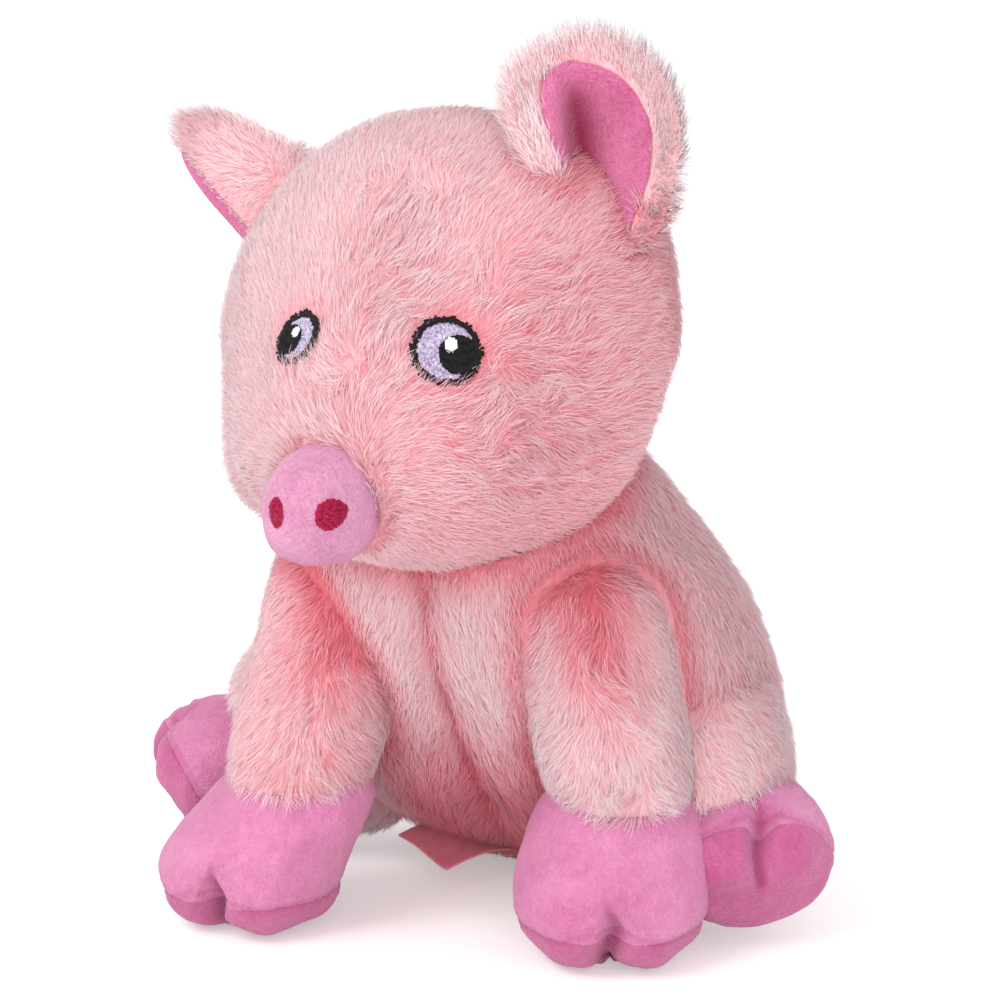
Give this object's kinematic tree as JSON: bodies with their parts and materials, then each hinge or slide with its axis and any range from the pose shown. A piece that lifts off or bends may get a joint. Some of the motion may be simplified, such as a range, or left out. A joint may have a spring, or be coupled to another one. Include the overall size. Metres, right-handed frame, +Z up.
{
  "type": "plush dog toy",
  "caption": "Seated plush pig toy for dogs: round head with rounded ears and velour snout, stuffed body with velour hooves, sewn-in label and a squeaker inside.",
  "frame": {"origin": "on the floor under the middle of the toy's outline", "axes": "+Z up; the pig faces -Y; its left side is +X"},
  "size_m": [0.2018, 0.197, 0.2286],
  "materials": {
    "plush": "medium-pile plush, pale pink",
    "hoof_velour": "short velour, warm pink",
    "snout_velour": "short velour, lilac pink",
    "lining_velour": "short velour, deep pink",
    "fibre": "loose polyester fibre",
    "black_thread": "satin-stitched thread",
    "pale_thread": "satin-stitched thread",
    "white_thread": "satin-stitched thread",
    "nostril_thread": "satin-stitched thread",
    "seam_thread": "drawn thread",
    "satin": "woven satin",
    "moulding": "soft moulded plastic"
  },
  "bodies": {
    "torso": {"torso_left_panel": "plush", "torso_right_panel": "plush", "seat_panel": "plush", "torso_filling": "fibre", "squeaker_base": "moulding", "squeaker_bellows": "moulding", "squeaker_reed": "moulding"},
    "neck": {"neck_thread": "seam_thread", "neck_filling": "fibre"},
    "head": {"face_panel": "plush", "head_back_panel": "plush", "head_filling": "fibre", "snout_cap": "snout_velour", "snout_filling": "fibre", "nostril_left": "nostril_thread", "nostril_right": "nostril_thread", "eye_left_outline": "black_thread", "eye_left_field": "pale_thread", "eye_left_pupil": "black_thread", "eye_left_glint": "white_thread", "eye_right_outline": "black_thread", "eye_right_field": "pale_thread", "eye_right_pupil": "black_thread", "eye_right_glint": "white_thread"},
    "ear_left": {"ear_left_back": "plush", "ear_left_lining": "lining_velour"},
    "ear_right": {"ear_right_back": "plush", "ear_right_lining": "lining_velour"},
    "foreleg_left": {"foreleg_left_sleeve": "plush", "foreleg_left_hoof_upper": "hoof_velour", "foreleg_left_hoof_sole": "hoof_velour", "foreleg_left_filling": "fibre"},
    "foreleg_right": {"foreleg_right_sleeve": "plush", "foreleg_right_hoof_upper": "hoof_velour", "foreleg_right_hoof_sole": "hoof_velour", "foreleg_right_filling": "fibre"},
    "hindleg_left": {"hindleg_left_sleeve": "plush", "hindleg_left_hoof_upper": "hoof_velour", "hindleg_left_hoof_sole": "hoof_velour", "hindleg_left_filling": "fibre"},
    "hindleg_right": {"hindleg_right_sleeve": "plush", "hindleg_right_hoof_upper": "hoof_velour", "hindleg_right_hoof_sole": "hoof_velour", "hindleg_right_filling": "fibre"},
    "tail": {"tail": "plush"},
    "label": {"label": "satin"},
    "squeaker_cap": {"squeaker_cap": "moulding"}
  },
  "joints": [
    {"name": "neck_turn", "type": "hinge", "parent": "torso", "child": "neck", "pos_m": [0.00629, 0.0065, 0.10365], "axis": [0, -0.3584, 0.9336], "range_deg": [-12, 12], "stiffness_Nm_per_rad": 3},
    {"name": "neck_nod", "type": "hinge", "parent": "neck", "child": "head", "pos_m": [0.00629, 0.0065, 0.10365], "axis": [1, 0, 0], "range_deg": [-5, 5], "stiffness_Nm_per_rad": 3},
    {"name": "ear_left_flap", "type": "hinge", "parent": "head", "child": "ear_left", "pos_m": [0.04629, -0.01321, 0.179], "axis": [0.9043, 0.3842, 0.1861], "range_deg": [-10, 10], "stiffness_Nm_per_rad": 0.03},
    {"name": "ear_right_flap", "type": "hinge", "parent": "head", "child": "ear_right", "pos_m": [-0.03171, -0.01321, 0.186], "axis": [-0.422, -0.7348, -0.5311], "range_deg": [-10, 10], "stiffness_Nm_per_rad": 0.03},
    {"name": "foreleg_left_lift", "type": "hinge", "parent": "torso", "child": "foreleg_left", "pos_m": [0.04129, -0.01121, 0.103], "axis": [-1, 0, 0], "range_deg": [0, 20], "stiffness_Nm_per_rad": 0.5},
    {"name": "foreleg_right_lift", "type": "hinge", "parent": "torso", "child": "foreleg_right", "pos_m": [-0.02871, -0.01121, 0.103], "axis": [-1, 0, 0], "range_deg": [0, 20], "stiffness_Nm_per_rad": 0.5},
    {"name": "hindleg_left_splay", "type": "hinge", "parent": "torso", "child": "hindleg_left", "pos_m": [0.05929, 0.05079, 0.03], "axis": [0, 0, 1], "range_deg": [0, 12], "stiffness_Nm_per_rad": 0.4},
    {"name": "hindleg_right_splay", "type": "hinge", "parent": "torso", "child": "hindleg_right", "pos_m": [-0.04671, 0.05079, 0.03], "axis": [0, 0, -1], "range_deg": [0, 12], "stiffness_Nm_per_rad": 0.4},
    {"name": "tail_wag", "type": "hinge", "parent": "torso", "child": "tail", "pos_m": [0.00629, 0.07779, 0.04], "axis": [0, 0, 1], "range_deg": [-12, 12], "stiffness_Nm_per_rad": 0.001},
    {"name": "label_lift", "type": "hinge", "parent": "torso", "child": "label", "pos_m": [0.00029, 0.02779, 0.0074], "axis": [-0.2419, 0.9703, 0], "range_deg": [0, 6], "stiffness_Nm_per_rad": 0.001},
    {"name": "squeaker_press", "type": "slide", "parent": "torso", "child": "squeaker_cap", "axis": [0, 0, -1], "range_m": [0, 0.006], "stiffness_N_per_m": 200, "deforming": ["squeaker_bellows"]}
  ]
}
